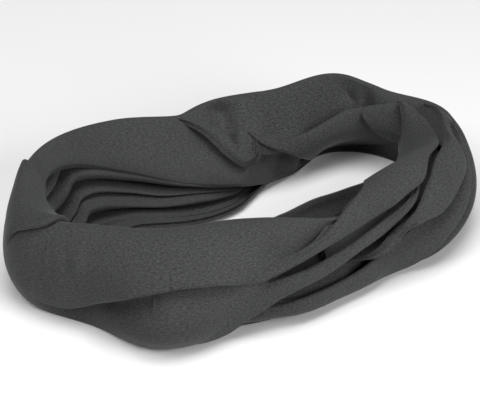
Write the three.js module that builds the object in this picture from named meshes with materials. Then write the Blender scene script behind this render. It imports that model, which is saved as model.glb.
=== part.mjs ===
// Tube bandana: one seamless knitted tube, gathered into a loose ring that rests on a surface.
// Units are millimetres, +Z is up, and the ring's underside lies at z = 0.
//
// The ring is a strip of cloth. Its section runs from the hem on the floor, under the ring, up the
// outer face, over the crest and down the inner face to the other hem. "turn" counts 0 to 360 round
// the ring, counter-clockwise from the right end, and "station" counts 0 to 9 along the section.
import * as THREE from 'three';

const WALL = 1.6;            // thickness of the gathered cloth
const SEAM = 0.55;           // gap where two stretches meet, at the middle of the wall
const TURN_STEP = 4.7;       // spacing of the sections round the ring, in degrees of turn
const TURN_LENGTH = 1.3;     // length round the ring of one degree of turn
const STATION_LENGTH = 16;   // length along the section of one station
const HEM_CURL = 3;          // how far each hem curls on past its knot
const CORE_MARGIN = 8;       // how far the hidden layers stay inside the outer layer
const CORE_LEAST = 4;        // their least half width
const CORE_STEP = 9;         // spacing of the hidden layers' sections, in degrees of turn
const CORE_TURNS = [204, 404];   // the part of the ring that they fill
const COLOUR = 0x46474a;     // charcoal melange jersey

// One row every 20 degrees of turn: where the ring's centre line passes (x, y), and how far from it
// the outer face (out), the crest (top, high), the inner face (inner, innerZ), the upper hem
// (lip, lipZ) and the lower hem lie. Outward is plus for out, top and lip, and minus for the others.
const SECTION_STEP = 20;
const SECTION_COLUMNS = ['x', 'y', 'out', 'top', 'high', 'inner', 'innerZ', 'lip', 'lipZ', 'hem'];
const SECTIONS = {
  'right end':        [93, -9, 15, 6, 39, 15, 22, -13, 11, 14],
  'right back bend':  [88, 14, 16, 0, 40, 9, 22, -8, 13, 7],
  'back peak':        [73, 30, 17, 4, 44, 12, 22, -10, 12, 8],
  'back right':       [47, 34, 17, 8, 41, 11, 22, -10, 10, 10],
  'back middle':      [19, 38, 20, 12, 40, 10, 22, -14, 11, 17],
  'flap start':       [-3, 39, 20, 13, 38, 1, 22, -6, 14, 20],
  'flap':             [-29, 52, 22, 14, 38, -3, 28, -1, 20, 18],
  'back left':        [-55, 53, 20, 12, 40, -5, 34, 2, 27, 18],
  'left back bend':   [-78, 40, 20, 10, 41, -2, 38, -2, 32, 18],
  'left end':         [-92, 16, 16, 3, 42, 10, 36, -8, 30, 17],
  'left front bend':  [-85, -12, 14, -3, 44, 15, 30, -12, 14, 15],
  'front left':       [-64, -33, 20, -9, 44, 18, 28, -16, 11, 17],
  'front':            [-38, -44, 17, -9, 44, 18, 28, -16, 11, 17],
  'front middle':     [-13, -50, 17, -4, 44, 19, 28, -17, 11, 17],
  'roll start':       [9, -52, 17, -2, 44, 20, 28, -18, 11, 18],
  'roll':             [33, -50, 18, -1, 44, 20, 28, -18, 11, 18],
  'front right':      [59, -46, 19, -2, 44, 18, 28, -17, 11, 17],
  'right front bend': [81, -32, 19, 5, 42, 17, 24, -15, 11, 16],
};

// Stations that carry a row of vertices, closest together on the folded outer and top faces.
const STATIONS = [
  0, 0.5, 1, 1.5, 2, 2.4, 2.8, 3.2, 3.5, 3.8, 4, 4.2, 4.4, 4.6, 4.8, 5, 5.2, 5.4, 5.6, 5.8,
  6, 6.2, 6.4, 6.6, 6.8, 7, 7.25, 7.5, 7.75, 8, 8.4, 9,
];

// The largest folds. Each follows a path of [turn, station] steps with rising turn. It rises by
// "rise" (a crease is negative), fades over the widths "above" and "below" its path, and hangs over
// its lower side by "lean".
const FOLDS = [
  { name: 'front band edge', rise: 4.5, lean: 3, above: 15, below: 4,
    path: [[190, 4.3], [200, 4.5], [211, 4.9], [222, 5.2], [240, 5.1], [252, 5.1]] },
  { name: 'crease under the front band', rise: -2.6, lean: 0, above: 3.5, below: 10,
    path: [[188, 3.85], [200, 4.05], [211, 4.4], [222, 4.7], [240, 4.6], [256, 4.6]] },
  { name: 'roll', rise: 5.5, lean: 2, above: 8, below: 6,
    path: [[243, 4.8], [256, 5.0], [266, 5.2], [278, 5.5], [290, 5.75], [302, 6], [316, 6.15],
      [330, 6.4], [349, 6.6], [366, 6.5]] },
  { name: 'crease behind the roll', rise: -2.6, lean: 0, above: 7, below: 5,
    path: [[246, 5.3], [258, 5.5], [270, 5.75], [282, 6.1], [296, 6.5], [306, 6.8]] },
  { name: 'second band', rise: 3.6, lean: 2, above: 7, below: 5,
    path: [[236, 4], [248, 4.35], [258, 4.6], [270, 4.85], [285, 5.05], [297, 5.2], [311, 5.4],
      [322, 5.6]] },
  { name: 'outer fold', rise: 4, lean: 1.5, above: 5, below: 4,
    path: [[254, 4.25], [272, 4.35], [285, 4.45], [293, 4.6], [302, 4.8], [313, 5], [323, 5.1],
      [333, 5.25], [340, 5.6], [352, 5.95], [366, 6.1]] },
  { name: 'low fold', rise: 2.4, lean: 0.8, above: 5, below: 5,
    path: [[250, 3.7], [263, 3.9], [277, 4], [290, 4.1], [304, 4.25], [318, 4.4]] },
  { name: 'rim fold', rise: 2.6, lean: 0.8, above: 4, below: 6,
    path: [[296, 3.5], [311, 3.75], [320, 4], [330, 4.4], [342, 4.8], [356, 5.2]] },
  { name: 'left lapel', rise: 3.6, lean: -1.5, above: 5, below: 12,
    path: [[150, 6.05], [156, 6.6], [166, 6.95], [176, 6.95], [186, 6.4]] },
  { name: 'crease under the lapel', rise: -3.6, lean: 0, above: 4, below: 4,
    path: [[174, 4.6], [179, 5], [183, 5.45], [189, 6]] },
  { name: 'diagonal roll', rise: 4.6, lean: -1.5, above: 4, below: 7,
    path: [[72, 7.4], [78, 7.1], [84, 6.75], [92, 6.4], [101, 6.1]] },
  { name: 'back fold', rise: 3.4, lean: 0, above: 6, below: 6,
    path: [[12, 6.2], [21, 6.35], [32, 6.5], [49, 6.65], [62, 6.8], [75, 6.6]] },
  { name: 'back panel edge', rise: 4, lean: -2.4, above: 3.5, below: 9,
    path: [[42, 8], [50, 7.7], [60, 7.2], [73, 6.65]] },
  { name: 'gathered point', rise: -3, lean: 0, above: 4, below: 4,
    path: [[350, 6.15], [357, 6.25], [364, 6.3], [372, 6.2]] },
  { name: 'inner layer', rise: 2.2, lean: 0, above: 6, below: 6,
    path: [[262, 7.15], [280, 7.2], [300, 7.2], [318, 7.2]] },
  { name: 'upper pleat', rise: -2.6, lean: 0, above: 8, below: 7,
    path: [[104, 4.2], [120, 4.2], [138, 4.3]] },
  { name: 'lower pleat', rise: -4, lean: 0, above: 8, below: 8,
    path: [[78, 2.4], [96, 2.4], [112, 2.5], [128, 2.6], [142, 2.8]] },
];

// Where one stretch ends and the next begins: the turn of the cut at each station.
const CUTS = {
  rightToBack: [[0, 12], [6.2, 11], [6.85, -6], [9, -8]],
  backToFlap: [[0, 99], [6.1, 98], [6.45, 88], [6.9, 80], [7.3, 74], [9, 71]],
  flapToLeft: [[0, 149], [6, 151], [7.4, 154], [9, 157]],
  leftToFront: [[0, 176], [4.7, 176], [5.45, 182], [6, 187], [9, 189]],
  frontToRight: [[0, 248], [4.6, 249], [5.4, 270], [6.3, 298], [7, 304], [9, 306]],
};
const STRETCHES = [
  { name: 'back_stretch', from: CUTS.rightToBack, to: CUTS.backToFlap },
  { name: 'flap_stretch', from: CUTS.backToFlap, to: CUTS.flapToLeft },
  { name: 'left_stretch', from: CUTS.flapToLeft, to: CUTS.leftToFront },
  { name: 'front_stretch', from: CUTS.leftToFront, to: CUTS.frontToRight },
  { name: 'right_stretch', from: CUTS.frontToRight, to: CUTS.rightToBack, laps: 1 },
];

// Catmull-Rom value between b and c, with a and d beyond them.
function spline(a, b, c, d, f) {
  return 0.5 * (2 * b + (c - a) * f + (2 * a - 5 * b + 4 * c - d) * f * f
    + (3 * b - a - 3 * c + d) * f * f * f);
}

// A column of the section table at any turn, smooth all the way round.
function sectionValue(column, turn) {
  const rows = Object.values(SECTIONS);
  const index = SECTION_COLUMNS.indexOf(column);
  const place = turn / SECTION_STEP;
  const row = Math.floor(place);
  const at = (k) => rows[(((row + k) % rows.length) + rows.length) % rows.length][index];
  return spline(at(-1), at(0), at(1), at(2), place - row);
}

// The centre line at a turn, with its outward direction.
function centreLine(turn) {
  const step = 0.5;
  const along = ['x', 'y'].map((c) => sectionValue(c, turn + step) - sectionValue(c, turn - step));
  const length = Math.hypot(...along);
  return {
    x: sectionValue('x', turn), y: sectionValue('y', turn),
    outX: along[1] / length, outY: -along[0] / length,
  };
}

// The section's knots at a turn, as [outward, height], one for each whole station.
function sectionKnots(turn) {
  const row = Object.fromEntries(SECTION_COLUMNS.map((c) => [c, sectionValue(c, turn)]));
  return [
    [-row.hem, HEM_CURL + 1],
    [-0.9 * row.hem, 1],
    [-0.5 * row.hem, 0],
    [0.5 * row.out, 0],
    [row.out, 0.32 * row.high],
    [0.8 * row.out + 0.2 * row.top, 0.74 * row.high],
    [row.top, row.high],
    [-row.inner, row.innerZ],
    [row.lip, row.lipZ],
    [row.lip + 1, row.lipZ - HEM_CURL],
  ];
}

// A point of the ring before its folds.
function plainPoint(turn, station) {
  const knots = sectionKnots(turn);
  const last = knots.length - 1;
  const low = Math.min(Math.floor(station), last - 1);
  const beyond = (k, inner) => [0, 1].map((axis) => 2 * k[axis] - inner[axis]);
  const around = [
    low > 0 ? knots[low - 1] : beyond(knots[0], knots[1]), knots[low], knots[low + 1],
    low + 2 <= last ? knots[low + 2] : beyond(knots[last], knots[last - 1]),
  ];
  const [u, z] = [0, 1].map((axis) => spline(...around.map((k) => k[axis]), station - low));
  const centre = centreLine(turn);
  return new THREE.Vector3(centre.x + u * centre.outX, centre.y + u * centre.outY, Math.max(z, 0));
}

// Directions round the ring and along the section, and the outward normal, of a surface function.
function frameOf(surface, turn, station) {
  const [round, along] = [0.5, 0.05];
  const near = Math.max(station - along, 0);
  const far = Math.min(station + along, STATIONS[STATIONS.length - 1]);
  const tangent = surface(turn + round, station).sub(surface(turn - round, station)).normalize();
  const rising = surface(turn, far).sub(surface(turn, near)).normalize();
  return { tangent, rising, normal: tangent.clone().cross(rising).normalize() };
}

// A fold's path on the flattened cloth: its points, its length up to each, and the direction of its
// lower side at each.
function flatPath(path) {
  const points = path.map(([turn, station]) => [turn * TURN_LENGTH, station * STATION_LENGTH]);
  const lengths = [0];
  const downs = points.map((point, k) => {
    const [before, after] = [points[Math.max(k - 1, 0)], points[Math.min(k + 1, points.length - 1)]];
    const length = Math.hypot(after[0] - before[0], after[1] - before[1]);
    if (k > 0) lengths.push(lengths[k - 1] + Math.hypot(point[0] - before[0], point[1] - before[1]));
    return [(after[1] - before[1]) / length, (before[0] - after[0]) / length];
  });
  return { points, lengths, downs, length: lengths[lengths.length - 1] };
}
for (const fold of FOLDS) fold.flat = flatPath(fold.path);

// How strongly a fold acts at a place, and the flat direction toward its lower side.
function foldEffect({ flat, above, below }, turn, station) {
  let best = { distance: Infinity };
  const place = [turn * TURN_LENGTH, station * STATION_LENGTH];
  for (let k = 0; k + 1 < flat.points.length; k += 1) {
    const [a, b] = [flat.points[k], flat.points[k + 1]];
    const step = [b[0] - a[0], b[1] - a[1]];
    const toPlace = [place[0] - a[0], place[1] - a[1]];
    const reach = (toPlace[0] * step[0] + toPlace[1] * step[1]) / (step[0] ** 2 + step[1] ** 2);
    const f = Math.min(Math.max(reach, 0), 1);
    const away = [toPlace[0] - f * step[0], toPlace[1] - f * step[1]];
    const distance = Math.hypot(...away);
    if (distance < best.distance) {
      const down = [0, 1].map((axis) => (1 - f) * flat.downs[k][axis] + f * flat.downs[k + 1][axis]);
      const along = (1 - f) * flat.lengths[k] + f * flat.lengths[k + 1];
      best = { distance, away, down, along };
    }
  }
  const side = (best.away[0] * best.down[0] + best.away[1] * best.down[1]) / (best.distance + 1e-9);
  const width = 0.5 * (above + below) + 0.5 * side * (below - above);
  const end = Math.min(best.along, flat.length - best.along) / (1.5 * Math.max(above, below));
  const fade = Math.sin(0.5 * Math.PI * Math.min(end, 1)) ** 2;
  return { strength: fade * Math.exp(-((best.distance / width) ** 2)), down: best.down };
}

// A point of the ring's outer surface with its folds. Nothing sinks below the floor.
function foldedPoint(turn, station) {
  const point = plainPoint(turn, station);
  const { tangent, rising, normal } = frameOf(plainPoint, turn, station);
  for (const fold of FOLDS) {
    for (const lap of [-360, 0, 360]) {
      const { strength, down } = foldEffect(fold, turn + lap, station);
      if (strength < 1e-3) continue;
      point.addScaledVector(normal, fold.rise * strength);
      point.addScaledVector(tangent, fold.lean * strength * down[0]);
      point.addScaledVector(rising, fold.lean * strength * down[1]);
    }
  }
  point.z = Math.max(point.z, 0);
  return point;
}

// The turn of a cut at a station, moved to one side of the seam (side is 1 past it, -1 before it).
function cutTurn(cut, station, side) {
  let k = 0;
  while (k + 2 < cut.length && station > cut[k + 1][0]) k += 1;
  const [[s0, t0], [s1, t1]] = [cut[k], cut[k + 1]];
  const slant = Math.hypot(1, (t1 - t0) * TURN_LENGTH / ((s1 - s0) * STATION_LENGTH));
  return t0 + (t1 - t0) * (station - s0) / (s1 - s0) + side * 0.5 * SEAM * slant / TURN_LENGTH;
}

// A named mesh from points and the triangles between them.
function meshFrom(name, points, faces) {
  const geometry = new THREE.BufferGeometry();
  geometry.setAttribute('position',
    new THREE.Float32BufferAttribute(points.flatMap((p) => [p.x, p.y, p.z]), 3));
  geometry.setIndex(faces);
  geometry.computeVertexNormals();
  const material = new THREE.MeshStandardMaterial({ color: COLOUR, roughness: 0.95 });
  const mesh = new THREE.Mesh(geometry, material);
  mesh.name = name;
  return mesh;
}

// One stretch of the ring: the cloth between two cuts, with its thickness.
function stretchMesh({ name, from, to, laps = 0 }) {
  const ends = STATIONS.map((s) => [cutTurn(from, s, 1), cutTurn(to, s, -1) + 360 * laps]);
  const widest = Math.max(...ends.map(([a, b]) => b - a));
  const steps = Math.round(widest / TURN_STEP);
  const rows = STATIONS.length;
  const outer = [];
  const inner = [];
  for (let i = 0; i <= steps; i += 1) {
    STATIONS.forEach((station, j) => {
      const turn = ends[j][0] + (ends[j][1] - ends[j][0]) * i / steps;
      const point = foldedPoint(turn, station);
      const { normal } = frameOf(foldedPoint, turn, station);
      outer.push(point);
      inner.push(point.clone().addScaledVector(normal, -WALL));
    });
  }
  const back = outer.length;
  const faces = [];
  const quad = (a, b, c, d) => faces.push(a, b, c, a, c, d);
  for (let i = 0; i < steps; i += 1) {
    for (let j = 0; j + 1 < rows; j += 1) {
      const [a, b, c, d] = [i * rows + j, (i + 1) * rows + j, (i + 1) * rows + j + 1, i * rows + j + 1];
      quad(a, b, c, d);
      quad(back + a, back + d, back + c, back + b);
    }
    const [hem, nextHem, lip, nextLip] = [i * rows, (i + 1) * rows, (i + 1) * rows - 1, (i + 2) * rows - 1];
    quad(hem, back + hem, back + nextHem, nextHem);
    quad(lip, nextLip, back + nextLip, back + lip);
  }
  for (let j = 0; j + 1 < rows; j += 1) {
    const end = steps * rows;
    quad(j, j + 1, back + j + 1, back + j);
    quad(end + j, back + end + j, back + end + j + 1, end + j + 1);
  }
  return meshFrom(name, [...outer, ...inner], faces);
}

// The hidden layers: one rounded solid inside the closed part of the ring, seated on its floor.
function innerLayersMesh() {
  const floor = WALL + 2 * SEAM;
  const profile = (turn) => {
    const [out, hem, top, high] = ['out', 'hem', 'top', 'high'].map((c) => sectionValue(c, turn));
    const middle = 0.5 * (out - hem);
    const half = Math.max(0.5 * (out + hem) - CORE_MARGIN, CORE_LEAST);
    const crest = 0.5 * (middle + top);
    const peak = high - CORE_MARGIN - WALL;
    return [
      [middle - half, floor + 6], [middle - 0.4 * half, floor], [middle + 0.4 * half, floor],
      [middle + half, floor + 6], [middle + half, 0.5 * high], [crest + 0.6 * half, peak - 4],
      [crest, peak], [crest - 0.6 * half, peak - 4], [middle - half, 0.5 * high],
    ];
  };
  const points = [];
  const [first, last] = CORE_TURNS;
  const steps = Math.round((last - first) / CORE_STEP);
  for (let i = 0; i <= steps; i += 1) {
    const turn = first + (last - first) * i / steps;
    const centre = centreLine(turn);
    for (const [u, z] of profile(turn)) {
      points.push(new THREE.Vector3(centre.x + u * centre.outX, centre.y + u * centre.outY, z));
    }
  }
  const rows = points.length / (steps + 1);
  const faces = [];
  for (let i = 0; i < steps; i += 1) {
    for (let j = 0; j < rows; j += 1) {
      const next = (j + 1) % rows;
      const [a, b, c, d] = [i * rows + j, (i + 1) * rows + j, (i + 1) * rows + next, i * rows + next];
      faces.push(a, b, c, a, c, d);
    }
  }
  const end = steps * rows;
  for (let j = 1; j + 1 < rows; j += 1) {
    faces.push(0, j, j + 1, end, end + j + 1, end + j);
  }
  return meshFrom('inner_layers', points, faces);
}

const bandana = new THREE.Group();
bandana.name = 'tube_bandana';
for (const stretch of STRETCHES) bandana.add(stretchMesh(stretch));
bandana.add(innerLayersMesh());

export default bandana;
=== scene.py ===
"""Tube bandana: one seamless knitted tube, gathered into a loose ring that lies on a surface.

The ring is a strip of cloth. Its section runs from the hem on the floor, under the ring, up
the outer face, over the crest and down the inner face to the other hem. A place on the cloth is
a pair: "turn", 0 to 360 degrees round the ring, counter-clockwise from the right end, and
"station", 0 to 9 along the section. Bands of the same cloth lie on the ring, and linings show
inside it. Sizes are in millimetres until a mesh is made.
"""
import logging
import math
from dataclasses import dataclass, field
from enum import Enum

import bmesh
import bpy
import numpy as np
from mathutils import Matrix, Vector


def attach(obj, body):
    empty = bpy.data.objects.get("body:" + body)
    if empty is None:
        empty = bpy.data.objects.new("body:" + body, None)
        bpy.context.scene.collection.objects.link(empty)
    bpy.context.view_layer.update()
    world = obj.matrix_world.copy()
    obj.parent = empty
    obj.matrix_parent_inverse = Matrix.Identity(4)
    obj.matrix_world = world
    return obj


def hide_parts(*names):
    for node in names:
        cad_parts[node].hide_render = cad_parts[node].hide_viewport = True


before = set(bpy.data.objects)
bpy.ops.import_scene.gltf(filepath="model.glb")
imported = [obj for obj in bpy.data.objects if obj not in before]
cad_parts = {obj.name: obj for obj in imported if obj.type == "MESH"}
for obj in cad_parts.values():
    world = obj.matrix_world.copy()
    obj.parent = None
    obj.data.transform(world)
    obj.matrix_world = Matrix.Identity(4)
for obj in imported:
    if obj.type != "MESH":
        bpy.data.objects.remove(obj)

LOG = logging.getLogger("bandana")
MM = 0.001
TURN_LENGTH = 1.3  # mm round the ring for one degree of turn
STATION_LENGTH = 16.0  # mm along the section for one station
LAST_STATION = 9.0
TINY = 1e-12  # keeps a division from meeting zero
MARGIN = 45  # degrees of turn beyond a fold's ends where it can still move the cloth
ROLL_ANGLES = range(20, 181, 20)  # degrees, where a rolled edge carries vertices
Cloth = tuple[bpy.types.Object, tuple[float, float]]  # a piece, and its size laid flat, m


def spline(a: np.ndarray, b: np.ndarray, c: np.ndarray, d: np.ndarray,
           f: np.ndarray) -> np.ndarray:
    """Catmull-Rom value between b and c, with a and d beyond them.

    Args:
        a, b, c, d: The four values in order.
        f: How far from b to c, 0 to 1.

    Returns:
        The value at f.
    """
    return 0.5 * (2 * b + (c - a) * f + (2 * a - 5 * b + 4 * c - d) * f ** 2
                  + (3 * b - a - 3 * c + d) * f ** 3)


def padded(rows: np.ndarray) -> np.ndarray:
    """Return the rows with one more at each end, in line with the last two."""
    return np.concatenate([2 * rows[:1] - rows[1:2], rows, 2 * rows[-1:] - rows[-2:-1]])


def between(rows: np.ndarray, count: int) -> np.ndarray:
    """Return smooth values at evenly spaced places along the rows.

    Args:
        rows: The values, a row for each knot.
        count: How many places.

    Returns:
        The values, a row for each place.
    """
    place = np.linspace(0, len(rows) - 1, count)
    low = np.minimum(place.astype(int), len(rows) - 2)
    ends = padded(rows)
    f = (place - low).reshape(-1, *[1] * (rows.ndim - 1))
    return spline(*(ends[low + k] for k in range(4)), f)


def unit(v: np.ndarray) -> np.ndarray:
    """Return the vectors v at length 1."""
    return v / np.maximum(np.linalg.norm(v, axis=-1, keepdims=True), TINY)


@dataclass
class RingForm:
    """The ring before its folds: a centre line and a section that changes round it.

    A row is a place on the centre line, x and y, and the section there, in mm from that line: how
    far out the widest place and the crest lie and how high the crest is, how far in the inner face
    bulges and how high, how far out and how high the lip ends, and how far in the hem ends.
    """

    step: float = 20.0  # degrees of turn between rows
    curl: float = 3.0  # how far each hem curls on past its knot
    reach: float = 0.5  # degrees of turn on each side over which a direction is taken
    rise: float = 0.05  # stations on each side over which a direction is taken
    under: tuple[float, float] = (0.9, 0.5)  # the underside's knots, as shares of hem and out
    belly: float = 0.32  # height of the widest place, as a share of the crest's
    shoulder: tuple[float, float, float] = (0.8, 0.2, 0.74)  # shares of out, top and high
    columns: tuple[str, ...] = (
        "x", "y", "out", "top", "high", "inner", "inner_z", "lip", "lip_z", "hem")
    rows: dict[str, tuple[float, ...]] = field(default_factory=lambda: {
        "right end": (93, -9, 15, 6, 39, 13, 24, -4, 6, -2),
        "right back bend": (88, 14, 15, 0, 39, 9, 24, 5, 4, -10),
        "back peak": (73, 30, 16, 4, 43, 12, 22, 5, 3.5, -10),
        "back right": (47, 34, 17, 8, 40, 11, 22, -6, 4, 0),
        "back middle": (19, 38, 20, 12, 40, 10, 22, -14, 11, 17),
        "flap start": (-3, 39, 20, 13, 38, 1, 22, -6, 14.8, 21),
        "flap": (-29, 52, 22, 14, 38, -3, 28, -1, 21.5, 22),
        "back left": (-55, 53, 20, 12, 40, -5, 36, 2, 32, 22),
        "left back bend": (-77, 40, 15, 8, 41, -2, 40, -2, 38.5, 18),
        "left end": (-91, 16, 14, 3, 42, 10, 36, -8, 30, 17),
        "left front bend": (-81, -13, 8.5, -6, 44, 15, 30, -12, 14, 14),
        "front left": (-64, -33, 21, -9, 44, 18, 28, -16, 11, 17),
        "front": (-38, -44, 12.5, -9, 44, 18, 28, -16, 11, 17),
        "front middle": (-13, -50, 12, -5, 44, 19, 28, -17, 11, 17),
        "roll start": (9, -52, 9.5, -4, 44, 20, 28, -18, 11, 18),
        "roll": (33, -50, 12, -3, 44, 20, 28, -18, 11, 18),
        "front right": (59, -46, 18, -2, 44, 18, 28, -17, 11, 17),
        "right front bend": (81, -32, 18, 5, 42, 17, 24, -15, 11, 16),
    })

    def value(self, column: str, turn: np.ndarray) -> np.ndarray:
        """Work out a column of the table, smooth all the way round.

        Args:
            column: The column's name.
            turn: Places round the ring.

        Returns:
            The column's value at each turn, mm.
        """
        table = np.array([row[self.columns.index(column)] for row in self.rows.values()], float)
        place = turn / self.step
        low = np.floor(place).astype(int)
        at = [table[(low + k) % len(table)] for k in (-1, 0, 1, 2)]
        return spline(*at, place - low)

    def way(self, turn: np.ndarray) -> list[np.ndarray]:
        """Return the centre line's x and y steps round the ring at each turn."""
        return [self.value(c, turn + self.reach) - self.value(c, turn - self.reach) for c in "xy"]

    def knots(self, turn: np.ndarray) -> np.ndarray:
        """Work out the section's knots.

        Args:
            turn: Places round the ring.

        Returns:
            The outward places and heights, mm, as (knot, [outward, height], turn).
        """
        out, top, high, inner, inner_z, lip, lip_z, hem = (
            self.value(c, turn) for c in self.columns[2:])
        level = np.zeros_like(out)
        near_hem, middle = self.under
        of_out, of_top, of_high = self.shoulder
        return np.array([
            (-hem, level + self.curl + 1), (-near_hem * hem, level + 1), (-middle * hem, level),
            (middle * out, level), (out, self.belly * high),
            (of_out * out + of_top * top, of_high * high), (top, high), (-inner, inner_z),
            (lip, lip_z), (lip + 1, lip_z - self.curl)])

    def point(self, turn: np.ndarray, station: np.ndarray) -> np.ndarray:
        """Work out the plain ring's points.

        Args:
            turn: Places round the ring.
            station: Places along the section.

        Returns:
            The points, mm.
        """
        knots = padded(self.knots(turn))
        low = np.clip(np.floor(station).astype(int), 0, int(LAST_STATION) - 1)
        here = np.arange(len(turn))
        around = [knots[low + k, :, here].T for k in range(4)]
        outward, height = spline(*around, station - low)
        along_x, along_y = self.way(turn)
        length = np.hypot(along_x, along_y)
        x = self.value("x", turn) + outward * along_y / length
        y = self.value("y", turn) - outward * along_x / length
        return np.stack([x, y, np.maximum(height, 0)], axis=-1)

    def axes(self, turn: np.ndarray,
             station: np.ndarray) -> tuple[np.ndarray, np.ndarray, np.ndarray]:
        """Work out the cloth's directions.

        Args:
            turn: Places round the ring.
            station: Places along the section.

        Returns:
            The directions round the ring, along the section and outward, at each place.
        """
        near = np.maximum(station - self.rise, 0)
        far = np.minimum(station + self.rise, LAST_STATION)
        ahead, back = (self.point(turn + side * self.reach, station) for side in (1, -1))
        round_it = unit(ahead - back)
        rising = unit(self.point(turn, far) - self.point(turn, near))
        return round_it, rising, unit(np.cross(round_it, rising))


class Kind(Enum):
    """How a fold's profile runs across its path."""

    RIDGE = "a soft ridge"
    CREASE = "a narrow valley"
    LAP = "a layer on the left of its path that hangs over the one on its right"


@dataclass
class Fold:
    """A fold along a path of (turn, station) steps.

    Where the path's turn rises, higher stations lie on its left.
    """

    name: str
    kind: Kind
    path: list[tuple[float, float]]
    rise: float  # mm outward, and inward for a crease
    left: float  # mm over which it fades on the left of its path
    right: float
    drop: float = 0.0  # how far a lap's lower layer sinks
    lean: float = 0.0  # how far a lap hangs over its right side
    sharp: float = 1.6  # mm over which a lap falls
    fade: float = 14.0  # mm at each end over which it grows
    parts: int = 4  # steps between two knots of its path

    def samples(self) -> tuple[np.ndarray, np.ndarray, np.ndarray]:
        """Work out the smooth path on the flat cloth.

        Returns:
            Its points, the direction to the right at each, and its length up to each, mm.
        """
        raw = padded(np.array(self.path, float) * (TURN_LENGTH, STATION_LENGTH))
        parts = np.linspace(0, 1, self.parts + 1)[:-1, None]
        points = np.concatenate(
            [spline(*raw[k:k + 4], parts) for k in range(len(raw) - 3)] + [raw[-2:-1]])
        along = unit(np.gradient(points, axis=0))
        steps = np.linalg.norm(np.diff(points, axis=0), axis=1)
        rights = np.stack([along[:, 1], -along[:, 0]], -1)
        return points, rights, np.concatenate([[0], np.cumsum(steps)])

    def effect(self, turn: np.ndarray, station: np.ndarray) -> tuple[np.ndarray, np.ndarray]:
        """Work out what the fold does at each place.

        Args:
            turn: Places round the ring.
            station: Places along the section.

        Returns:
            The rise along the outward normal, and the flat shift along the cloth, in mm.
        """
        points, rights, lengths = self.samples()
        place = np.stack([turn * TURN_LENGTH, station * STATION_LENGTH], -1)
        best = np.full(len(place), np.inf)
        away, right = np.zeros_like(place), np.zeros_like(place)
        along = np.zeros(len(place))
        for k in range(len(points) - 1):
            step = points[k + 1] - points[k]
            f = np.clip((place - points[k]) @ step / (step @ step), 0, 1)
            offset = place - points[k] - f[:, None] * step
            distance = np.linalg.norm(offset, axis=1)
            near = distance < best
            best[near] = distance[near]
            away[near] = offset[near]
            right[near] = ((1 - f)[:, None] * rights[k] + f[:, None] * rights[k + 1])[near]
            along[near] = (lengths[k] + f * (lengths[k + 1] - lengths[k]))[near]
        side = (away * right).sum(1) / (best + 1e-9)
        width = 0.5 * (self.left + self.right) + 0.5 * side * (self.right - self.left)
        end = np.clip(np.minimum(along, lengths[-1] - along) / self.fade, 0, 1)
        grow = np.sin(0.5 * np.pi * end) ** 2
        shift = np.zeros_like(best)
        if self.kind is Kind.CREASE:
            up = -self.rise * np.exp(-best / width)
        elif self.kind is Kind.RIDGE:
            up = self.rise * np.exp(-((best / width) ** 2))
        else:
            # The layer on the left leans out, and the one on the right is drawn in under it.
            fall = np.exp(-((best / self.sharp) ** 2))
            over = self.rise * np.exp(-((best / self.left) ** 2))
            sunk = self.drop * np.exp(-((best / self.right) ** 2))
            under = (self.rise + self.drop) * fall - sunk
            blend = np.clip(0.5 + 0.5 * side, 0, 1)
            up = (1 - blend) * over + blend * under
            beyond, reach, limit = best * side, 1.7 * self.sharp, 4 * self.sharp
            crest, foot, drawn = -0.5 * self.sharp, 1.4 * self.sharp, 0.6
            shift = self.lean * (np.exp(-(((beyond - crest) / reach) ** 2))
                                 - drawn * np.exp(-(((beyond - foot) / reach) ** 2)))
            shift = shift * np.exp(-((best / limit) ** 2))
        return up * grow, (shift * grow)[:, None] * right


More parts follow.
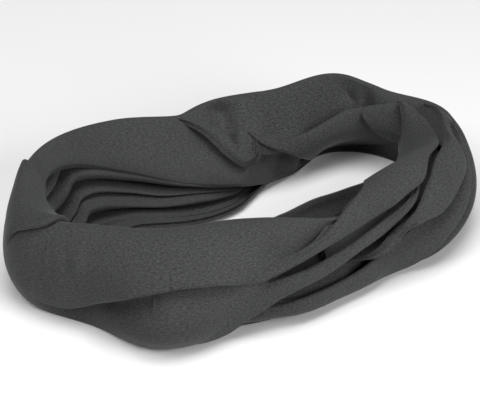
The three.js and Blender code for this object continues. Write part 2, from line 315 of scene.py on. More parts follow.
def ring_folds() -> list[Fold]:
    """List the folds of the ring itself.

    Returns:
        The folds, most of which sink the cloth where a band lies on it.
    """
    ridge, crease = Kind.RIDGE, Kind.CREASE
    return [
        Fold("sunk front", ridge, [
            (184, 3.6), (191, 3.68), (198, 3.9), (204, 4.2), (211, 4.55), (217, 4.8), (224, 4.92),
            (234, 4.85), (244, 4.75)], -4, 16, 7),
        Fold("front hollow", ridge, [
            (200, 3.95), (207, 4.25), (214, 4.55), (221, 4.78)], -2.5, 7, 6, fade=7),
        Fold("sunk rolls", ridge, [
            (247, 4.5), (256, 4.5), (266, 4.5), (276, 4.55), (285, 4.66), (293, 4.8), (301, 5),
            (309, 5.2), (316, 5.5), (328, 5.9), (344, 6.2)], -16, 16, 11, fade=16),
        Fold("sunk under rim", ridge, [
            (280, 3.7), (290, 3.75), (299, 3.85), (307, 4.1), (315, 4.35)], -6, 9, 8),
        Fold("sunk foot", ridge, [
            (237, 3.2), (246, 3.3), (254, 3.3), (262, 3.1), (276, 2.95)], -4, 7, 6, fade=7),
        Fold("sunk rim", ridge, [
            (252, 6.75), (262, 6.5), (272, 6.3), (282, 6.25), (292, 6.5), (302, 6.85),
            (310, 7)], -13, 12, 12),
        Fold("sunk outer", ridge, [
            (306, 3.05), (312, 3.3), (316, 3.55), (319, 3.8), (323, 4), (327, 4.18), (331, 4.4),
            (335, 4.72), (339, 5.12), (343, 5.52), (350, 5.75), (358, 5.78)], -7, 12, 3, fade=10),
        Fold("sunk gather", ridge, [
            (334, 6), (342, 6.22), (352, 6.3), (362, 6.28), (368, 6.2)], -8, 3.5, 3.5, fade=8),
        Fold("sunk lapel", ridge, [(184, 5.9), (176, 6.6), (168, 7.2)], -2, 14, 14),
        Fold("back valley", ridge, [
            (79, 5.95), (80, 6.35), (81, 6.6), (79.5, 6.82)], -6, 4.5, 4.5, fade=4),
        Fold("diagonal valley", ridge, [
            (99, 6.3), (93, 6.56), (89, 6.85), (85, 7.25), (79, 7.75)], -3.5, 4, 5, fade=10),
        Fold("sunk back", ridge, [
            (73, 6.8), (70, 7.1), (65, 7.4), (58, 7.9)], -6.5, 6, 7, fade=8),
        Fold("sunk back wall", ridge, [
            (2, 6.95), (12, 7), (24, 7.05), (36, 7.15), (48, 7.2),
            (60, 7.2)], -8, 13, 9, fade=12),
        Fold("sunk above fold", ridge, [
            (22, 6.28), (30, 6.42), (38, 6.5), (45, 6.57), (52, 6.64), (59, 6.67), (66, 6.6),
            (71, 6.48)], -4, 5, 8, fade=10),
        Fold("back upright crease", crease, [
            (40, 6.1), (37, 6.25), (34, 6.4), (30, 6.52)], 3, 3, 3, fade=8),
    ]


def back_folds() -> list[Fold]:
    """List the folds of the back band.

    Returns:
        The folds.
    """
    return [
        Fold("back crease", Kind.LAP, [
            (29, 6.56), (25, 6.75), (22, 6.89), (16, 7.26),
            (11, 7.51)], 1.2, 6, 6, drop=2.5, lean=1.5, sharp=1.4, fade=5),
    ]


def front_dents() -> list[Fold]:
    """List the soft dents of the front band.

    Returns:
        The dents.
    """
    ridge, crease = Kind.RIDGE, Kind.CREASE
    return [
        Fold("front dent", crease, [
            (255, 5.58), (252, 5.33), (250, 5.14), (247, 4.86)], 2.2, 5, 2.5, fade=8),
        Fold("front dent ridge", ridge, [
            (247, 5.2), (244.5, 4.99), (243, 4.8)], 1.2, 4, 3, fade=8),
        Fold("front swell", ridge, [(261, 5.6), (257, 5.32), (254, 5.1)], 1.2, 5, 6, fade=8),
        Fold("left wrinkle", crease, [(191, 5.45), (193, 5.07), (193, 4.5)], 1, 2, 2, fade=6),
        Fold("left wrinkle ridge", ridge, [
            (195, 5.35), (196, 5), (196, 4.5)], 0.8, 2.5, 2.5, fade=6),
    ]


def flat_size(planned: np.ndarray) -> tuple[float, float]:
    """Work out how large a cloth is before its folds are made.

    Args:
        planned: A grid of planned places, mm, as (column, row, axis).

    Returns:
        The cloth's mean length and width, m.
    """
    length = np.linalg.norm(np.diff(planned, axis=0), axis=-1).sum(0).mean()
    width = np.linalg.norm(np.diff(planned, axis=1), axis=-1).sum(1).mean()
    return round(float(length) * MM, 3), round(float(width) * MM, 3)


def shell(name: str, outer: np.ndarray, normal: np.ndarray, wall: float,
          flat: np.ndarray) -> bpy.types.Object:
    """Make a closed sheet of cloth from its outer face.

    Args:
        name: The object's name.
        outer: A grid of points in mm, as (column, row, 3).
        normal: The outward normals at the grid's points.
        wall: The cloth's thickness, mm.
        flat: Each point's place on the flat cloth, mm.

    Returns:
        The sheet's object.
    """
    columns, rows = outer.shape[:2]
    net = bmesh.new()
    sheets = []
    for places in (outer, outer - wall * normal):
        made = bmesh.ops.create_grid(net, x_segments=columns - 1, y_segments=rows - 1, size=1)
        sheets.append(made["verts"])
        spots = places.transpose(1, 0, 2).reshape(-1, 3) * MM
        for vert, spot in zip(made["verts"], spots.tolist()):
            vert.co = spot
    inside = set(sheets[1])
    bmesh.ops.reverse_faces(net, faces=[f for f in net.faces if f.verts[0] in inside])
    grid = [[sheet[r * columns:(r + 1) * columns] for r in range(rows)] for sheet in sheets]
    for c in range(columns - 1):
        for r, turned in ((0, True), (rows - 1, False)):
            ring = [grid[0][r][c], grid[0][r][c + 1], grid[1][r][c + 1], grid[1][r][c]]
            net.faces.new(ring[::-1] if turned else ring)
    for r in range(rows - 1):
        for c, turned in ((0, True), (columns - 1, False)):
            ring = [grid[0][r + 1][c], grid[0][r][c], grid[1][r][c], grid[1][r + 1][c]]
            net.faces.new(ring[::-1] if turned else ring)
    layer = net.loops.layers.uv.new("cloth")
    net.verts.index_update()
    uv = np.concatenate([flat.transpose(1, 0, 2).reshape(-1, 2)] * 2) * MM
    for face in net.faces:
        face.smooth = True
        for loop in face.loops:
            loop[layer].uv = uv[loop.vert.index]
    data = bpy.data.meshes.new(name)
    net.to_mesh(data)
    net.free()
    turned = normal.transpose(1, 0, 2).reshape(-1, 3)
    data.normals_split_custom_set_from_vertices(np.concatenate([turned, -turned]).tolist())
    made = bpy.data.objects.new(name, data)
    bpy.context.collection.objects.link(made)
    LOG.info("%s: %d vertices, %d faces", name, len(data.vertices), len(data.polygons))
    return made


def apply_folds(folds: list[Fold], form: RingForm, turn: np.ndarray, station: np.ndarray,
                point: np.ndarray) -> None:
    """Move points by every fold that reaches them.

    Args:
        folds: The folds.
        form: The ring that gives the directions.
        turn, station: The points' places on the cloth.
        point: The points in mm, which are moved.
    """
    round_it, rising, normal = form.axes(turn, station)
    for fold in folds:
        turns = [t for t, _ in fold.path]
        for lap in (-360, 0, 360):
            near = (turn + lap > min(turns) - MARGIN) & (turn + lap < max(turns) + MARGIN)
            if near.any():
                up, shift = fold.effect(turn[near] + lap, station[near])
                point[near] += up[:, None] * normal[near] + shift[:, :1] * round_it[near] \
                    + shift[:, 1:] * rising[near]


@dataclass
class Band:
    """A layer of the cloth that lies on the ring, with both long edges rolled under.

    A row is a place along the band: the right edge's turn and station, the left edge's turn and
    station, and how far each edge stands above the ring, in mm.
    """

    name: str
    rows: list[tuple[float, float, float, float, float, float]]
    crown: float = 0.6  # extra height in the middle, mm
    roll: float = 1.3  # radius of the rolled edges, mm
    tuck: float = 5.0  # how far the edges reach back under, mm
    tuck_rows: int = 3  # rows of vertices on that part
    dip: float = 0.5  # how far a tucked edge falls for each mm that it reaches back
    share: float = 0.3  # greatest share of the width that one edge's radius takes
    fewest: tuple[int, int] = (8, 6)  # vertices along it and across it, at least
    wall: float = 0.9  # the cloth's thickness, mm
    folds: list[Fold] = field(default_factory=list)

    def build(self, form: RingForm, pitch: float) -> Cloth:
        """Make the band on the ring.

        Args:
            form: The ring.
            pitch: The spacing of its vertices, mm.

        Returns:
            The band's object, and its size before its folds are made.
        """
        rows = np.array(self.rows, float)
        edge = rows[:, :2] * (TURN_LENGTH, STATION_LENGTH)
        length = np.linalg.norm(np.diff(edge, axis=0), axis=1).sum()
        row = between(rows, max(int(length / pitch), self.fewest[0]))
        right = row[:, 0:2] * (TURN_LENGTH, STATION_LENGTH)
        left = row[:, 2:4] * (TURN_LENGTH, STATION_LENGTH)
        width = np.linalg.norm(left - right, axis=1, keepdims=True)
        across = (left - right) / np.maximum(width, TINY)
        v = np.linspace(0, 1, max(int(width.max() / pitch), self.fewest[1]))[None, :]
        roll = np.minimum(self.roll, self.share * width)
        reach = roll + v * (width - 2 * roll)
        lift = row[:, 4:5] * (1 - v) + row[:, 5:6] * v + self.crown * 4 * v * (1 - v)
        angle = np.radians(ROLL_ANGLES)[None, :]
        ones = np.ones_like(width)
        steps = np.linspace(0, 1, self.tuck_rows + 1)[None, 1:] * self.tuck
        out = np.concatenate([roll * np.sin(angle), -steps * ones], 1) - roll
        fall = np.concatenate([roll * (1 - np.cos(angle)), 2 * roll + self.dip * steps], 1)
        reach = np.concatenate([-out[:, ::-1], reach, width + out], 1)
        lift = np.concatenate([(row[:, 4:5] - fall)[:, ::-1], lift, row[:, 5:6] - fall], 1)
        place = right[:, None, :] + reach[..., None] * across[:, None, :]
        turn, station = place[..., 0] / TURN_LENGTH, place[..., 1] / STATION_LENGTH
        station = np.clip(station, 0, LAST_STATION)
        shape = turn.shape
        point = form.point(turn.ravel(), station.ravel())
        point += lift.ravel()[:, None] * form.axes(turn.ravel(), station.ravel())[2]
        planned = point.reshape(*shape, 3).copy()
        apply_folds(self.folds, form, turn.ravel(), station.ravel(), point)
        point[:, 2] = np.maximum(point[:, 2], 0)
        outer = point.reshape(*shape, 3)
        normal = unit(np.cross(np.gradient(outer, axis=0), np.gradient(outer, axis=1)))
        return shell(self.name, outer, normal, self.wall, place), flat_size(planned)


def bands() -> list[tuple[str, Band]]:
    """List the bands of cloth that lie on the ring.

    Returns:
        Each band with the CAD node that it belongs to.
    """
    outer_ridge = [Fold("outer band ridge", Kind.RIDGE, [
        (305, 4.68), (307.5, 4.82), (310, 4.96), (312, 5.07), (315, 5.2), (319, 5.42),
        (323, 5.6)], 2, 2, 2.6, fade=8)]
    low_ridge = [Fold("low band ridge", Kind.RIDGE, [
        (250, 3.72), (260, 3.66), (270, 3.6), (282, 3.58), (293, 3.6), (300, 3.65)], 1.4, 3, 4)]
    return [
        ("front_stretch", Band("band_front", [
            (172, 3.9, 172, 6.4, -3, -5), (180, 3.75, 180, 6.5, -1, -3),
            (188, 3.68, 188, 6.7, 0.8, -1), (193, 3.74, 194, 6.8, 1.5, 0),
            (198, 3.95, 199, 6.8, 1.5, 0), (204, 4.27, 204, 6.8, 1.5, 0),
            (211, 4.63, 211, 6.85, 1.5, 0), (217, 4.88, 217, 6.9, 1.5, 0),
            (224, 5, 224, 6.9, 1.5, 0), (232, 4.88, 232, 6.9, 1.5, 0),
            (240, 4.71, 240, 6.75, 1.5, 0.5), (246, 4.74, 247, 6.45, 1.5, 0.8),
            (254, 4.98, 254, 6.12, 0, 0.8), (262, 5.08, 261, 5.93, -1.5, 0.8),
            (270, 5.15, 268, 5.76, -3, 0.8), (278, 5.25, 276, 5.58, -4, 0.5),
            (286, 5.35, 283, 5.45, -5, -1)], folds=front_dents())),
        ("front_stretch", Band("band_low", [
            (218, 2.9, 218, 5, -3, -5), (228, 3, 228, 5, 0, -5), (236, 3.3, 235, 4.9, 1, -4),
            (242, 3.7, 240, 4.75, 1.4, -3), (247, 3.94, 245, 4.65, 1.5, -2),
            (253, 4.17, 250, 4.6, 1.5, -0.5), (260, 4.3, 257, 4.65, 1.5, 0.8),
            (268, 4.35, 265, 4.67, 1.5, 0.8), (277, 4.43, 275, 4.72, 1.5, 0.8),
            (285, 4.57, 282, 4.78, 1.5, 0.8), (292, 4.67, 289, 4.9, 1.5, 0.8),
            (299, 4.82, 296, 5.03, 1.5, 0.8), (305, 4.98, 302, 5.13, 1.2, 0),
            (310, 5.17, 308, 5.28, 0, -0.3), (315, 5.45, 313, 5.48, -2, -3)], tuck=2)),
        ("right_stretch", Band("band_roll", [
            (238, 4.72, 240, 4.9, -1.5, -2.5), (245, 4.66, 249, 5.02, 1.7, -1),
            (251, 4.73, 257, 5.1, 2.3, 0), (258, 4.86, 264, 5.17, 2.8, 1.2),
            (266, 4.96, 270, 5.24, 3, 2), (276, 5.04, 276, 5.38, 3, 2.5),
            (286, 5.14, 283, 5.6, 3, 2.5), (295, 5.23, 290, 5.81, 3, 2.5),
            (302, 5.28, 297, 6.06, 3, 2.2), (308, 5.39, 303, 6.5, 3, 1), (315, 5.5, 314, 7, 3, 0),
            (323, 5.84, 327, 7.3, 2.5, 0), (332, 6.07, 337, 7.15, 2, 0.8),
            (341, 6.24, 346, 6.98, 1.5, 2), (348, 6.31, 354, 6.89, 1.5, 2),
            (355, 6.35, 363, 6.74, 1.5, 2), (362, 6.34, 369, 6.5, 1.5, 2),
            (368, 6.25, 372, 6.33, 0.5, 1), (373, 6.14, 375, 6.18, -2, -2)], crown=1)),
        ("right_stretch", Band("band_outer", [
            (262, 3.92, 261, 3.9, -10, -10), (269, 3.96, 267, 3.93, -10, -10),
            (276, 4.01, 273, 4, -10, -10), (282, 4.05, 278, 4.04, -8.5, -9),
            (288, 4.11, 283, 4.1, -5, -7), (293, 4.22, 287, 4.17, 0, -4.5),
            (298, 4.41, 292, 4.32, 2.5, -2), (302, 4.58, 297, 4.51, 3, -0.5),
            (306, 4.68, 301, 4.62, 2.5, -0.5), (311, 4.73, 305, 4.78, 2.2, -0.5),
            (315, 4.72, 308, 4.93, 2, -0.5), (319, 4.8, 311, 5.12, 1.7, -0.5),
            (324, 4.96, 316, 5.4, 2, -0.5), (329, 5.1, 321, 5.58, 2.2, 0),
            (332, 5.22, 326, 5.78, 2.2, 0.3), (334, 5.4, 331, 5.95, 2.3, 0.5),
            (336, 5.68, 336, 6.07, 2.2, 1), (340, 5.92, 341, 6.16, 2, 1),
            (347, 6.04, 347, 6.2, 1.5, 1), (353, 6.04, 353, 6.16, 1.2, 1),
            (359, 6, 359, 6.11, 0.5, 0.5),
            (365, 5.98, 365, 6.08, -1.5, -1.5)], folds=outer_ridge)),
        ("right_stretch", Band("band_rim", [
            (238, 3.5, 238, 3.8, -2, -4), (244, 3.55, 244, 3.85, 0.3, -1.5),
            (252, 3.48, 251, 3.88, 0.5, -0.5), (260, 3.4, 259, 3.92, 0.5, 0.3),
            (270, 3.27, 268, 3.92, 0.3, 0.5), (278, 3.2, 276, 3.9, 0, 0.5),
            (286, 3.15, 284, 3.95, 0, 0.3), (294, 3.1, 291, 4.05, 0, -0.5),
            (302, 3.15, 299, 4.3, 0, -3), (308, 3.29, 305, 4.52, 0.3, -4.5),
            (314, 3.7, 311, 4.62, 0.8, -5), (319, 4.09, 316, 4.66, 0.8, -5),
            (325, 4.35, 323, 4.9, 0.8, -5), (331, 4.66, 329, 5.2, 0.8, -5),
            (336, 5.1, 335, 5.6, 0.8, -5), (341, 5.62, 341, 5.9, 0.5, -5),
            (350, 5.93, 351, 6.05, -0.5, -5), (358, 5.93, 359, 6.02, -3, -6)], folds=low_ridge)),
        ("left_stretch", Band("band_lapel", [
            (174, 4, 158, 4, -4, -4), (177, 4.75, 152, 4.9, 0.5, -2),
            (179, 5.28, 151, 5.5, 2.5, 1), (182, 5.54, 152.5, 6, 3, 2.5),
            (185, 5.72, 155, 6.4, 3, 2.5), (187, 5.95, 157, 6.9, 3, 2.5),
            (187, 6.4, 159, 7.4, 2, 2), (184, 7, 163, 7.9, -0.5, 0.5),
            (179, 7.6, 169, 8.4, -2, -2)], crown=-1)),
        ("back_stretch", Band("band_diagonal", [
            (108, 6.04, 107, 5.9, -4, -4), (103, 6.14, 101, 6.02, -2, -1),
            (97, 6.3, 94, 6.17, 1, 1.2), (92, 6.48, 88, 6.34, 1.5, 1.5),
            (89, 6.68, 84, 6.5, 1.5, 1.5), (86, 6.95, 81, 6.68, 1.5, 1.5),
            (81, 7.25, 79, 6.85, 1.5, 1.5), (76, 7.12, 76, 6.97, 1.5, 1.5),
            (73, 6.92, 75, 6.88, 1.5, 1.5),
            (71.5, 6.66, 73.5, 6.67, -0.5, 0)], crown=1.4, roll=1.2, tuck=3)),
        ("back_stretch", Band("band_back", [
            (8, 6.1, 6, 7.3, -5, -7), (14, 6.21, 12, 7.7, -0.5, -4),
            (20, 6.39, 19, 7.9, 0.5, -2.5), (29, 6.55, 29, 8.1, 1, -0.5),
            (37, 6.62, 37, 8.3, 1, 0), (45, 6.7, 46, 8.1, 1, 0.5), (52, 6.78, 52, 7.8, 1, 1.5),
            (58, 6.84, 58, 7.45, 1, 2), (64, 6.85, 63, 7.2, 1, 2), (69, 6.79, 68, 7, 1, 2),
            (72.5, 6.66, 72.5, 6.8, 1, 2),
            (75, 6.5, 75, 6.6, -1, 0)], crown=0, roll=1.6, folds=back_folds())),
    ]


@dataclass
class Lining:
    """A layer of the cloth that shows inside the ring.

    A row is a turn, and the layer's section there from its outer edge to its inner one: pairs of
    outward place and height, in mm.
    """

    name: str
    rows: list[tuple[float, ...]]
    span: float  # mm across the section
    wall: float = 0.9  # mm
    floor: float = 0.2  # mm, the least height of its outer face

    def build(self, form: RingForm, pitch: float) -> Cloth:
        """Make the layer.

        Args:
            form: The ring that it lies in.
            pitch: The spacing of the vertices, mm.

        Returns:
            The layer's object, and its planned size.
        """
        rows = np.array(self.rows, float)
        row = between(rows, int((rows[-1, 0] - rows[0, 0]) * TURN_LENGTH / pitch))
        turn, knots = row[:, 0], row[:, 1:].reshape(len(row), -1, 2)
        section = between(knots.transpose(1, 0, 2), int(self.span / pitch)).transpose(1, 0, 2)
        way = unit(np.stack(form.way(turn), -1))
        centre = np.stack([form.value(c, turn) for c in "xy"], -1)
        outward = np.stack([way[:, 1], -way[:, 0]], -1)
        flat = centre[:, None, :] + section[..., :1] * outward[:, None, :]
        outer = np.concatenate([flat, np.maximum(section[..., 1:], self.floor)], -1)
        normal = unit(np.cross(np.gradient(outer, axis=0), np.gradient(outer, axis=1)))
        across = np.linspace(0, self.span, section.shape[1])
        cloth = np.stack(np.broadcast_arrays(turn[:, None] * TURN_LENGTH, across[None, :]), -1)
        return shell(self.name, outer, normal, self.wall, cloth), flat_size(cloth)


def pleated(ridges: tuple[float, ...]) -> tuple[float, ...]:
    """Work out the section of a stack of pleats.

    Args:
        ridges: A turn, then each pleat's outward place and height, mm, from the top one down.

    Returns:
        The turn, then the section's points with a deep valley under each pleat.
    """
    depths, overhang, bulge, opening = (5, 7, 5, 8), 0.6, 0.45, 0.8
    (start_back, start_up), (foot_back, foot_height) = (5, 1), (4, 0.3)
    places = list(zip(ridges[1::2], ridges[2::2]))
    points = [ridges[0], places[0][0] + start_back, places[0][1] + start_up]
    for (u, z), (below_u, below_z), depth in zip(places, places[1:], depths):
        points += [u, z, u - overhang, z - bulge * (z - below_z),
                   max(u, below_u) + depth, below_z + opening]
    return (*points, *places[-1], places[-1][0] + foot_back, foot_height)


def linings() -> list[Lining]:
    """List the layers that show inside the ring.

    Returns:
        The pleats in the hollow at the left, the inner flap and the core under the right roll.
    """
    pleats = [pleated(ridges) for ridges in (
        (72, 4, 8, 3, 6, 2, 4.5, 1, 3, -1, 1),
        (78, 0, 9, -5, 7.5, -5.5, 6, -6.5, 4.5, -9, 1),
        (84, -4, 10, -9, 7.6, -9, 6.2, -9, 4.8, -13, 1),
        (92, -2, 13, -7, 10.4, -7, 7.8, -9, 6.2, -14, 1.4),
        (100, 0, 16, -5, 14.2, -5, 9.3, -8, 7.2, -13, 1.2),
        (110, 4, 19, -2, 16.7, -3, 8.6, -7, 5.6, -12, 0.9),
        (120, 6, 22, 0, 19.1, -1, 10.7, -6, 6.6, -11.5, 0.9),
        (130, 8, 26, 1, 23.4, -1, 14.9, -6, 10.3, -10.5, 1.6),
        (137, 9, 29, 3, 24.5, -1, 14.8, -6, 11, -10, 2.5),
        (142, 6, 29, 1, 21.5, -3, 11.8, -8, 8.5, -10, 2.5),
        (147, 3, 28.5, 0, 20.5, -4, 10.8, -8, 8, -11, 2.2),
        (153, 1, 30, -1, 22.5, -6, 12, -9, 9, -12, 2.2),
        (160, -1, 34, -3, 27, -7, 15.6, -10, 12.5, -13, 3),
        (170, -2, 38, -5, 34, -9, 23, -12, 18, -15, 5))]
    flap = [(turn, -10, 14, -14, 20, edge + 2, top - 6, edge + 0.6, top - 1.2, edge, top,
             edge - 1.3, top - 0.8, edge - 2.2, top - 4, -19, 16, -14, 9)
            for turn, edge, top in (
                (242, -14, 26), (250, -17, 29), (257, -19.5, 31.5), (264, -20, 33),
                (272, -21, 33), (280, -22, 33), (288, -22, 33), (296, -20, 33),
                (304, -18, 33), (312, -15.5, 33), (320, -11, 31), (330, -8, 27))]
    core = [(turn, 3, 8, 2, top - 9, 0.5, top - 2, -1.5, top, -3.5, top - 4, -6, 8)
            for turn, top in (
                (276, 24), (282, 34), (287, 40.5), (292, 42.8), (298, 43.8), (305, 44),
                (312, 43.5), (320, 43), (328, 42), (336, 40))]
    return [Lining("lining_pleats", pleats, span=110), Lining("lining_flap", flap, span=45),
            Lining("lining_core", core, span=80)]


@dataclass(frozen=True)
class Cut:
    """Where one stretch ends and the next begins: the turn of the cut at each station."""

    places: tuple[tuple[float, float], ...]

    def turn(self, station: np.ndarray) -> np.ndarray:
        """Return the cut's turn at each station."""
        stations, turns = zip(*self.places)
        return np.interp(station, stations, turns)


@dataclass(frozen=True)
class JerseyFinish:
    """Charcoal melange jersey: a fine matte knit of dark and light fibres, with a soft sheen."""

    dark: tuple[float, float, float] = (0.021, 0.0214, 0.0218)
    light: tuple[float, float, float] = (0.068, 0.069, 0.07)
    rib: float = 0.0007  # m; the ribs stand two pi times this apart
    streak: tuple[float, float] = (0.0013, 0.0004)  # m, the length and width of a fibre streak
    speck: float = 0.00045  # m
    patch: float = 0.03  # m, the size of the faint worn patches
    streak_share: float = 0.5  # the share of the tone that is streaks
    speck_share: float = 0.4
    patch_share: float = 0.1
    dark_at: float = 0.36  # the tone at which the cloth is wholly dark
    light_at: float = 0.66
    roughness: float = 0.9
    specular: float = 0.25
    sheen: float = 0.12
    sheen_roughness: float = 0.4
    sheen_tint: tuple[float, float, float, float] = (0.9, 0.92, 0.95, 1)
    relief: float = 0.00012  # m
    bump: float = 0.6
    rib_share: float = 0.5  # how high the ribs stand beside the specks
    wander: float = 1.5  # how far the ribs stray from straight

    def noise(self, tree: bpy.types.NodeTree, source: bpy.types.NodeSocket,
              size: tuple[float, float, float], detail: float) -> bpy.types.NodeSocket:
        """Add a noise whose grains have the given size.

        Args:
            tree: The node tree.
            source: The coordinates, in metres.
            size: The grain's size along each axis, m.
            detail: How many finer layers it has.

        Returns:
            The noise's factor.
        """
        place = tree.nodes.new("ShaderNodeMapping")
        place.inputs["Scale"].default_value = tuple(1 / s for s in size)
        made = tree.nodes.new("ShaderNodeTexNoise")
        made.inputs["Scale"].default_value = 1
        made.inputs["Detail"].default_value = detail
        tree.links.new(source, place.inputs["Vector"])
        tree.links.new(place.outputs["Vector"], made.inputs["Vector"])
        return made.outputs["Fac"]

    def weighed(self, tree: bpy.types.NodeTree, value: bpy.types.NodeSocket, share: float,
                rest: bpy.types.NodeSocket | None = None) -> bpy.types.NodeSocket:
        """Add a maths node that gives a share of a value.

        Args:
            tree: The node tree.
            value: The value.
            share: What it is multiplied by.
            rest: A value to add, if there is one.

        Returns:
            The sum.
        """
        made = tree.nodes.new("ShaderNodeMath")
        made.operation = "MULTIPLY" if rest is None else "MULTIPLY_ADD"
        made.inputs[1].default_value = share
        tree.links.new(value, made.inputs[0])
        if rest is not None:
            tree.links.new(rest, made.inputs[2])
        return made.outputs["Value"]

    def material(self) -> bpy.types.Material:
        """Build the jersey's node material.

        Returns:
            The material.
        """
        made = bpy.data.materials.new("charcoal_jersey")
        made.use_nodes = True
        tree = made.node_tree
        shader = tree.nodes["Principled BSDF"]
        shader.inputs["Roughness"].default_value = self.roughness
        shader.inputs["Specular IOR Level"].default_value = self.specular
        shader.inputs["Sheen Weight"].default_value = self.sheen
        shader.inputs["Sheen Roughness"].default_value = self.sheen_roughness
        shader.inputs["Sheen Tint"].default_value = self.sheen_tint
        place = tree.nodes.new("ShaderNodeTexCoord")
        cloth, space = place.outputs["UV"], place.outputs["Object"]
        streaks = self.noise(tree, cloth, (*self.streak, 1), 2)
        specks = self.noise(tree, space, (self.speck,) * 3, 2)
        patches = self.noise(tree, space, (self.patch,) * 3, 1)
        tone = self.weighed(tree, specks, self.speck_share)
        tone = self.weighed(tree, streaks, self.streak_share, tone)
        tone = self.weighed(tree, patches, self.patch_share, tone)
        ramp = tree.nodes.new("ShaderNodeValToRGB")
        stops = ((self.dark_at, self.dark), (self.light_at, self.light))
        for stop, (position, colour) in zip(ramp.color_ramp.elements, stops):
            stop.position, stop.color = position, (*colour, 1)
        tree.links.new(tone, ramp.inputs["Fac"])
        tree.links.new(ramp.outputs["Color"], shader.inputs["Base Color"])
        ribs = tree.nodes.new("ShaderNodeTexWave")
        ribs.wave_type, ribs.bands_direction = "BANDS", "Y"
        ribs.inputs["Scale"].default_value = 1 / (20 * self.rib)  # 20 radians to a unit
        ribs.inputs["Distortion"].default_value = self.wander
        ribs.inputs["Detail"].default_value = 1
        ribs.inputs["Detail Scale"].default_value = 2
        tree.links.new(cloth, ribs.inputs["Vector"])
        height = self.weighed(tree, ribs.outputs["Fac"], self.rib_share, specks)
        bump = tree.nodes.new("ShaderNodeBump")
        bump.inputs["Strength"].default_value = self.bump
        bump.inputs["Distance"].default_value = self.relief
        tree.links.new(height, bump.inputs["Height"])
        tree.links.new(bump.outputs["Normal"], shader.inputs["Normal"])
        return made


@dataclass
class GatheredTube:
    """The whole ring of cloth, made one stretch at a time."""

    form: RingForm = field(default_factory=RingForm)
    folds: list[Fold] = field(default_factory=ring_folds)
    wall: float = 1.1  # the cloth's thickness, mm
    pitch: float = 1.0  # spacing of the vertices, mm
    band_share: float = 0.8  # the bands' spacing, as a share of the ring's
    lining_share: float = 0.7
    cuts: dict[str, Cut] = field(default_factory=lambda: {
        "right to back": Cut(((0, 12), (6.2, 11), (6.85, -6), (9, -8))),
        "back to flap": Cut(((0, 99), (6.1, 98), (6.45, 88), (6.9, 80), (7.3, 74), (9, 71))),
        "flap to left": Cut(((0, 149), (6, 151), (7.4, 154), (9, 157))),
        "left to front": Cut(((0, 176), (4.7, 176), (5.45, 182), (6, 187), (9, 189))),
        "front to right": Cut(((0, 248), (4.6, 249), (5.4, 270), (6.3, 298), (7, 304), (9, 306))),
    })

    def surface(self, turn: np.ndarray, station: np.ndarray) -> np.ndarray:
        """Work out the folded cloth's outer face.

        Args:
            turn: Places round the ring.
            station: Places along the section.

        Returns:
            The points, mm.
        """
        point = self.form.point(turn, station)
        apply_folds(self.folds, self.form, turn, station, point)
        point[:, 2] = np.maximum(point[:, 2], 0)
        return point

    def stations(self) -> np.ndarray:
        """Work out which stations carry vertices, closest together where folds show.

        Returns:
            The stations.
        """
        spacing = self.pitch / STATION_LENGTH
        under, face, lip = 2, 3.6, 8.2  # where the underside, the outer face and the lip start
        wide, wider, lip_rows = 1.6, 3, 10  # spacings below the face, and rows on the lip
        return np.concatenate([
            np.arange(0, under, wider * spacing), np.arange(under, face, wide * spacing),
            np.arange(face, lip, spacing), np.linspace(lip, LAST_STATION, lip_rows)])

    def stretch(self, name: str, start: str, end: str, laps: int = 0) -> Cloth:
        """Make one stretch of the ring between two cuts.

        Args:
            name: The stretch's name.
            start: The cut where it starts.
            end: The cut where it ends.
            laps: Whole turns to add to the end.

        Returns:
            The stretch's object, and its size on the plain ring before its folds are made.
        """
        stations = self.stations()
        low = self.cuts[start].turn(stations)
        high = self.cuts[end].turn(stations) + 360 * laps
        count = int(np.ceil((high - low).max() * TURN_LENGTH / self.pitch))
        parts = np.arange(-1, count + 2) / count  # one column of places beyond each cut
        turn = low + (high - low) * parts[:, None]
        station = np.broadcast_to(stations, turn.shape)
        outer = self.surface(turn.ravel(), station.ravel()).reshape(*turn.shape, 3)
        normal = unit(np.cross(np.gradient(outer, axis=0), np.gradient(outer, axis=1)))
        flat = np.stack([turn * TURN_LENGTH, station * STATION_LENGTH], -1)
        plain = self.form.point(turn.ravel(), station.ravel()).reshape(*turn.shape, 3)
        made = shell(name, outer[1:-1], normal[1:-1], self.wall, flat[1:-1])
        return made, flat_size(plain[1:-1])

    def declare(self, cloth: Cloth, node: str, material: bpy.types.Material,
                replaces: bool) -> None:
        """Dress a piece with its material, attach it to the root and, where it stands for a CAD
        node, hide that node.

        Args:
            cloth: The piece and its flat size.
            node: The CAD node that it belongs to.
            material: Its material.
            replaces: Whether it stands for that node.
        """
        piece, size = cloth
        piece.data.materials.append(material)
        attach(piece, "root")
        if replaces:
            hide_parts(node)

    def build(self, finish: JerseyFinish) -> None:
        """Args:
            finish: The cloth's finish.
        """
        material = finish.material()
        plans = [
            ("back", "right to back", "back to flap", 0),
            ("flap", "back to flap", "flap to left", 0),
            ("left", "flap to left", "left to front", 0),
            ("front", "left to front", "front to right", 0),
            ("right", "front to right", "right to back", 1),
        ]
        for name, start, end, laps in plans:
            cloth = self.stretch(f"cloth_{name}", start, end, laps)
            self.declare(cloth, f"{name}_stretch", material, replaces=True)
        for node, band in bands():
            cloth = band.build(self.form, self.band_share * self.pitch)
            self.declare(cloth, node, material, replaces=False)
        for lining in linings():
            cloth = lining.build(self.form, self.lining_share * self.pitch)
            self.declare(cloth, "inner_layers", material, replaces=True)


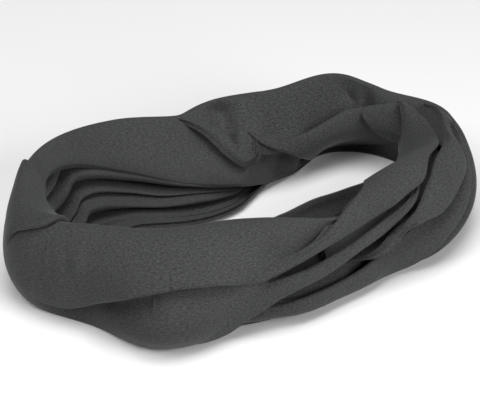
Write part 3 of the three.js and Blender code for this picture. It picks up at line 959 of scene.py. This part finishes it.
@dataclass
class Studio:
    """A pale floor, soft light and the camera, with angles in degrees."""

    azimuth: float = -35.0
    elevation: float = 35.0
    distance: float = 0.8  # m
    target: tuple[float, float, float] = (-0.005, -0.004, 0.020)
    lens: float = 139.2  # mm
    shift: float = 1 / 240  # how far the view is raised, in widths
    sky: float = 0.04
    tone: tuple[float, float, float, float] = (0.9, 0.9, 0.9, 1)  # of the floor
    roughness: float = 0.9
    floor_size: float = 3  # m from its middle to a side
    lamp_side: float = 0.7  # m
    lamp_distance: float = 1.3  # m
    lamps: tuple[tuple[str, float, float, float], ...] = (  # azimuth, elevation and power
        ("lamp_left", -75, 55, 8), ("lamp_right", 12, 28, 10.5), ("lamp_top", 0, 85, 9))

    @staticmethod
    def way(azimuth: float, elevation: float) -> Vector:
        """Return the direction from the object to a place at these angles, degrees."""
        a, e = math.radians(azimuth), math.radians(elevation)
        return Vector((math.sin(a) * math.cos(e), -math.cos(a) * math.cos(e), math.sin(e)))

    def floor(self) -> bpy.types.Object:
        """Make the floor.

        Returns:
            The floor's object.
        """
        net = bmesh.new()
        bmesh.ops.create_grid(net, x_segments=1, y_segments=1, size=self.floor_size)
        data = bpy.data.meshes.new("floor")
        net.to_mesh(data)
        net.free()
        made = bpy.data.objects.new("floor", data)
        bpy.context.collection.objects.link(made)
        paint = bpy.data.materials.new("pale_floor")
        paint.use_nodes = True
        shader = paint.node_tree.nodes["Principled BSDF"]
        shader.inputs["Base Color"].default_value = self.tone
        shader.inputs["Roughness"].default_value = self.roughness
        data.materials.append(paint)
        return made

    def light(self) -> None:
        """Make the soft sky and the three broad lamps."""
        world = bpy.data.worlds.new("studio")
        bpy.context.scene.world = world
        world.use_nodes = True
        world.node_tree.nodes["Background"].inputs["Color"].default_value = (1, 1, 1, 1)
        world.node_tree.nodes["Background"].inputs["Strength"].default_value = self.sky
        for name, azimuth, elevation, power in self.lamps:
            lamp = bpy.data.lights.new(name, "AREA")
            lamp.shape, lamp.size, lamp.energy = "SQUARE", self.lamp_side, power
            made = bpy.data.objects.new(name, lamp)
            made.location = self.lamp_distance * self.way(azimuth, elevation)
            made.rotation_euler = (-made.location).to_track_quat("-Z", "Y").to_euler()
            bpy.context.collection.objects.link(made)

    def camera(self) -> None:
        """Make the camera at the viewing angle."""
        data = bpy.data.cameras.new("camera")
        data.lens, data.shift_y = self.lens, self.shift
        made = bpy.data.objects.new("camera", data)
        back = self.way(self.azimuth, self.elevation)
        made.location = Vector(self.target) + self.distance * back
        made.rotation_mode = "QUATERNION"
        made.rotation_quaternion = (-back).to_track_quat("-Z", "Y")
        bpy.context.collection.objects.link(made)
        bpy.context.scene.camera = made


def main() -> None:
    """Build the bandana and its studio."""
    logging.basicConfig(level=logging.INFO, format="%(message)s")
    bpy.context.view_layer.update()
    studio = Studio()
    studio.camera()
    studio.floor()
    studio.light()
    bpy.context.scene.view_settings.view_transform = "Standard"
    tube = GatheredTube(pitch=1.0)
    tube.build(JerseyFinish())


if __name__ == "__main__":
    main()
